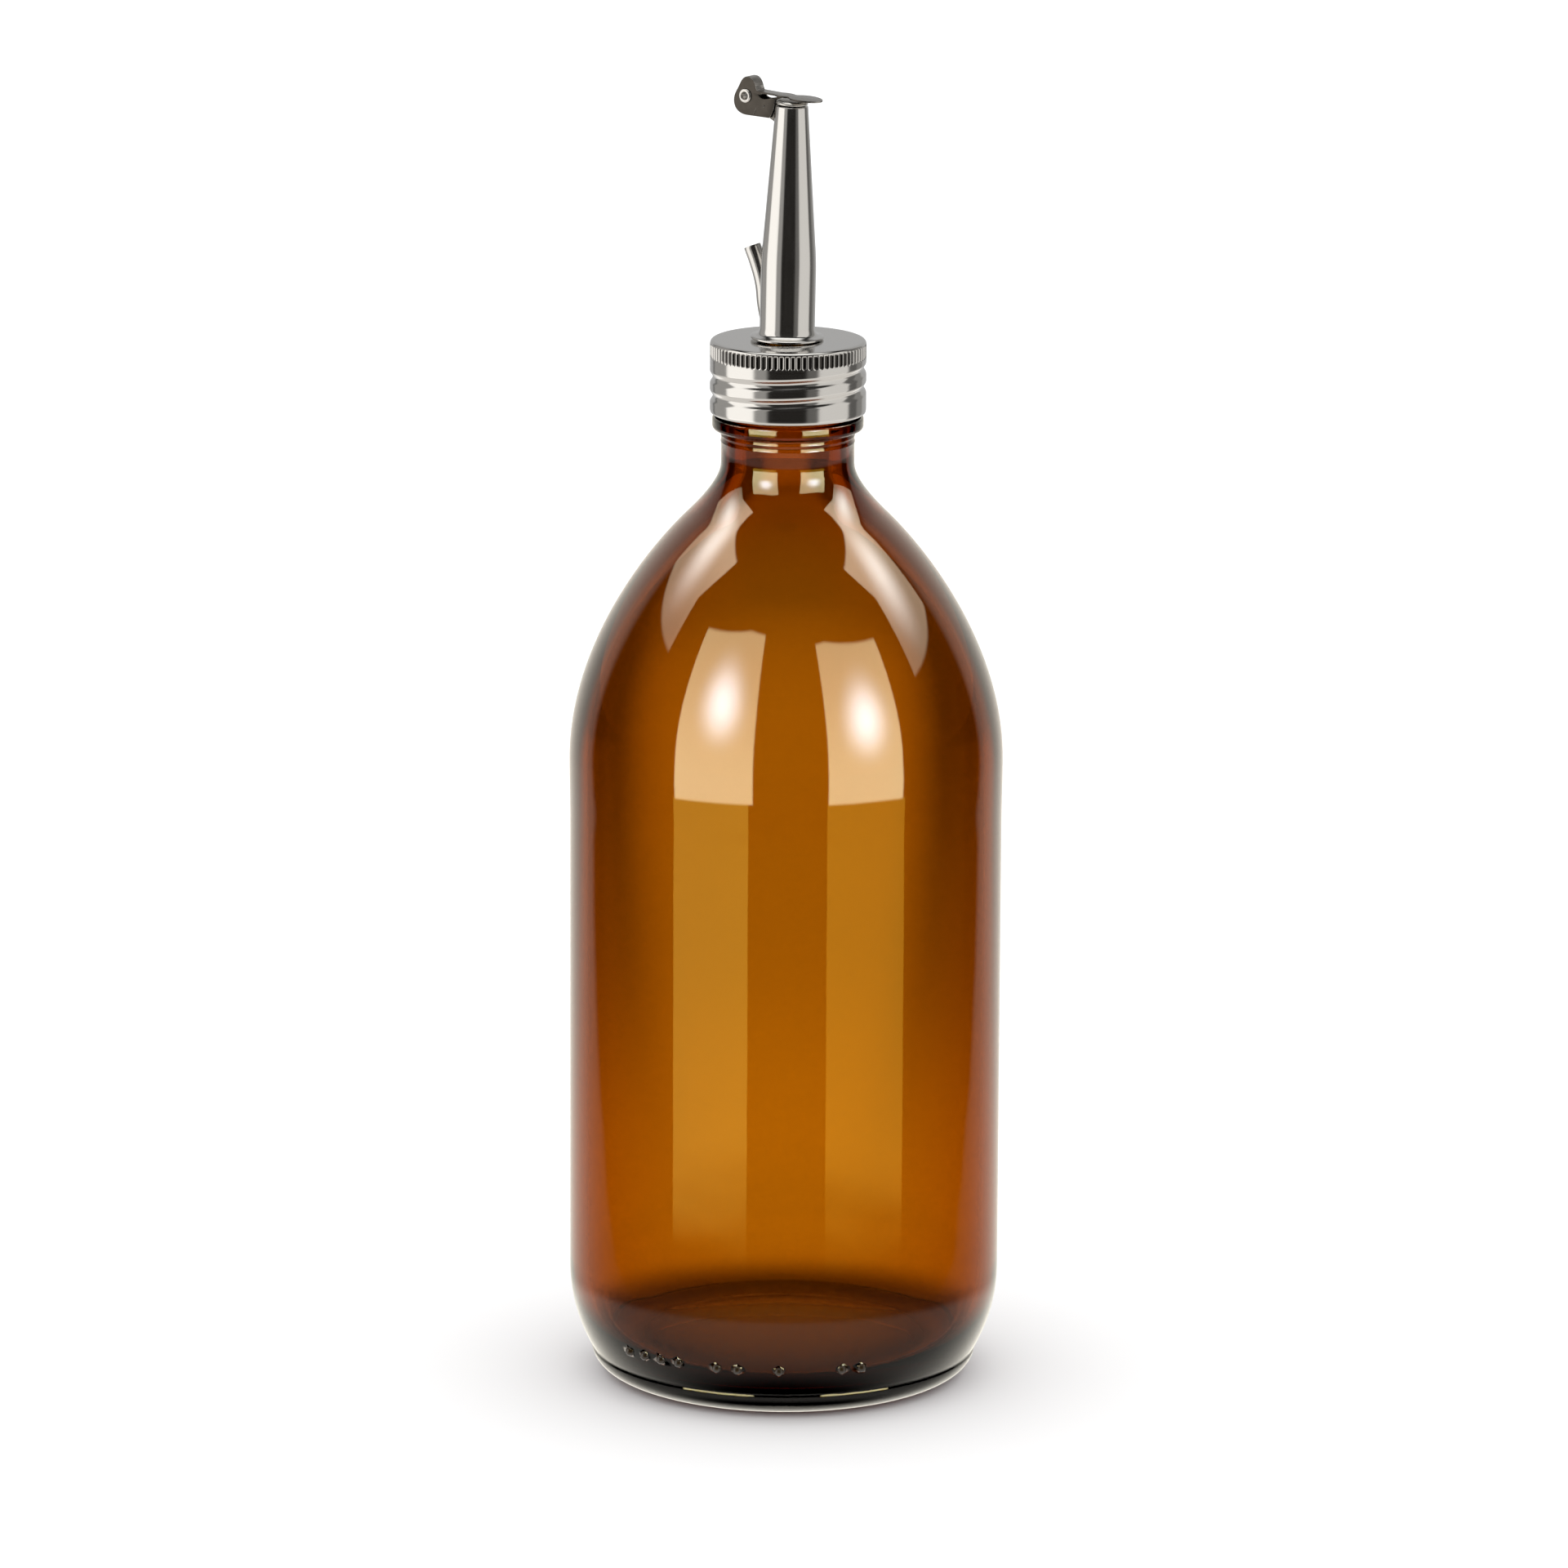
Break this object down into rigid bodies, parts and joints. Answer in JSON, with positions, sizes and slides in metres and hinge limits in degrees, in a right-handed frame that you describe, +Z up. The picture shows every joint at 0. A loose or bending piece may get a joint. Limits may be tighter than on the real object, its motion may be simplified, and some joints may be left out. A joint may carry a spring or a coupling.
{
  "type": "glass oil bottle",
  "caption": "Amber glass oil bottle with a knurled steel screw cap, a tapered pouring spout with a vent tube, and a hinged flap that closes the spout.",
  "frame": {"origin": "bottom centre of the bottle, in the plane of the ring it stands on", "axes": "+Z up along the bottle's axis, +X towards the side the spout pours to, away from the flap's hinge; the hinge axis runs along Y"},
  "size_m": [0.095, 0.095, 0.2888],
  "materials": {
    "amber_glass": "clear amber brown glass, smooth and glossy",
    "satin_steel": "satin stainless steel",
    "polished_steel": "polished stainless steel",
    "flap_steel": "dull grey-brown stainless sheet",
    "liner_plastic": "pale foamed polyethylene"
  },
  "bodies": {
    "bottle": {"bottle": "amber_glass"},
    "liner": {"cap_liner": "liner_plastic"},
    "cap": {"screw_cap": "satin_steel", "spout_lock_ring": "satin_steel", "spout": "polished_steel", "vent_tube": "polished_steel", "hinge_bracket": "flap_steel", "hinge_rivet": "polished_steel"},
    "flap": {"flap": "flap_steel", "flap_seal_disc": "polished_steel"}
  },
  "joints": [
    {"name": "cap_rise", "type": "slide", "parent": "bottle", "child": "liner", "axis": [0, 0, 1], "range_m": [0, 0.0095]},
    {"name": "cap_turn", "type": "hinge", "parent": "liner", "child": "cap", "pos_m": [0, 0, 0.224], "axis": [0, 0, 1], "range_deg": [0, 810]},
    {"name": "flap_hinge", "type": "hinge", "parent": "cap", "child": "flap", "pos_m": [-0.01055, 0, 0.2846], "axis": [0, -1, 0], "range_deg": [0, 100]}
  ],
  "couplings": [
    {"joint": "cap_rise", "follows": "cap_turn", "m_per_rad": 0.00066049}
  ]
}
